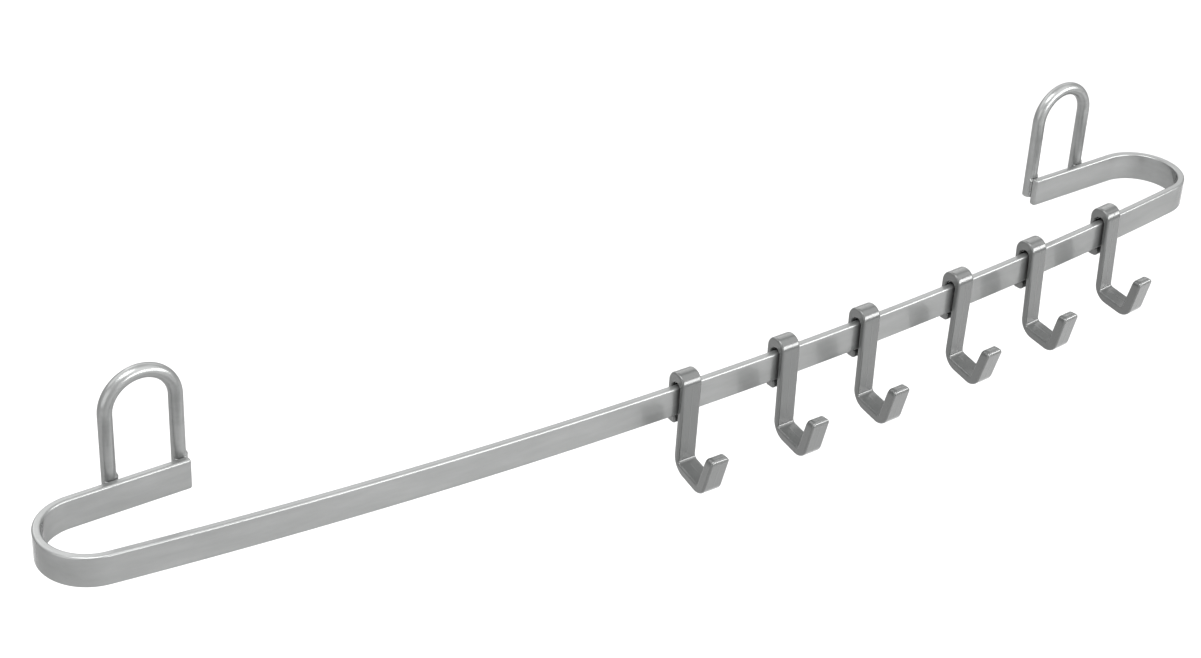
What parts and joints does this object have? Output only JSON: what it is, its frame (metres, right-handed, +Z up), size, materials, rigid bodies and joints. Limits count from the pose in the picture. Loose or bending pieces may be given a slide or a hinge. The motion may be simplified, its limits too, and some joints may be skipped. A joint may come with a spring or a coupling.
{
  "type": "wall hook rack",
  "caption": "Bowed flat-bar wall rail with wire hanging loops and moulded hooks that slide along the bar, for hanging kitchen tools or cloths.",
  "frame": {"origin": "on the wall, midway between the two hanging loops, at the height where the loops rest on their screws", "axes": "+X along the rail to the right seen from the front, +Y into the wall, +Z up"},
  "size_m": [0.5586, 0.0874, 0.0818],
  "materials": {
    "lacquered_steel": "semi-gloss silver metallic lacquer",
    "hook_plastic": "satin moulded grey"
  },
  "bodies": {
    "rack": {"rail": "lacquered_steel", "left_loop": "lacquered_steel", "right_loop": "lacquered_steel", "left_outer_weld": "lacquered_steel", "left_inner_weld": "lacquered_steel", "right_inner_weld": "lacquered_steel", "right_outer_weld": "lacquered_steel"},
    "hook_1_body": {"hook_1": "hook_plastic"},
    "hook_2_body": {"hook_2": "hook_plastic"},
    "hook_3_body": {"hook_3": "hook_plastic"},
    "hook_4_body": {"hook_4": "hook_plastic"},
    "hook_5_body": {"hook_5": "hook_plastic"},
    "hook_6_body": {"hook_6": "hook_plastic"}
  },
  "joints": [
    {"name": "hook_1_travel", "type": "hinge", "parent": "rack", "child": "hook_1_body", "pos_m": [0, 1.9583, -0.043], "axis": [0, 0, 1], "range_deg": [-6.51, 0.56]},
    {"name": "hook_2_travel", "type": "hinge", "parent": "rack", "child": "hook_2_body", "pos_m": [0, 1.9583, -0.043], "axis": [0, 0, 1], "range_deg": [-0.56, 0.47]},
    {"name": "hook_3_travel", "type": "hinge", "parent": "rack", "child": "hook_3_body", "pos_m": [0, 1.9583, -0.043], "axis": [0, 0, 1], "range_deg": [-0.47, 0.62]},
    {"name": "hook_4_travel", "type": "hinge", "parent": "rack", "child": "hook_4_body", "pos_m": [0, 1.9583, -0.043], "axis": [0, 0, 1], "range_deg": [-0.62, 0.52]},
    {"name": "hook_5_travel", "type": "hinge", "parent": "rack", "child": "hook_5_body", "pos_m": [0, 1.9583, -0.043], "axis": [0, 0, 1], "range_deg": [-0.52, 0.57]},
    {"name": "hook_6_travel", "type": "hinge", "parent": "rack", "child": "hook_6_body", "pos_m": [0, 1.9583, -0.043], "axis": [0, 0, 1], "range_deg": [-0.57, 1.23]}
  ]
}
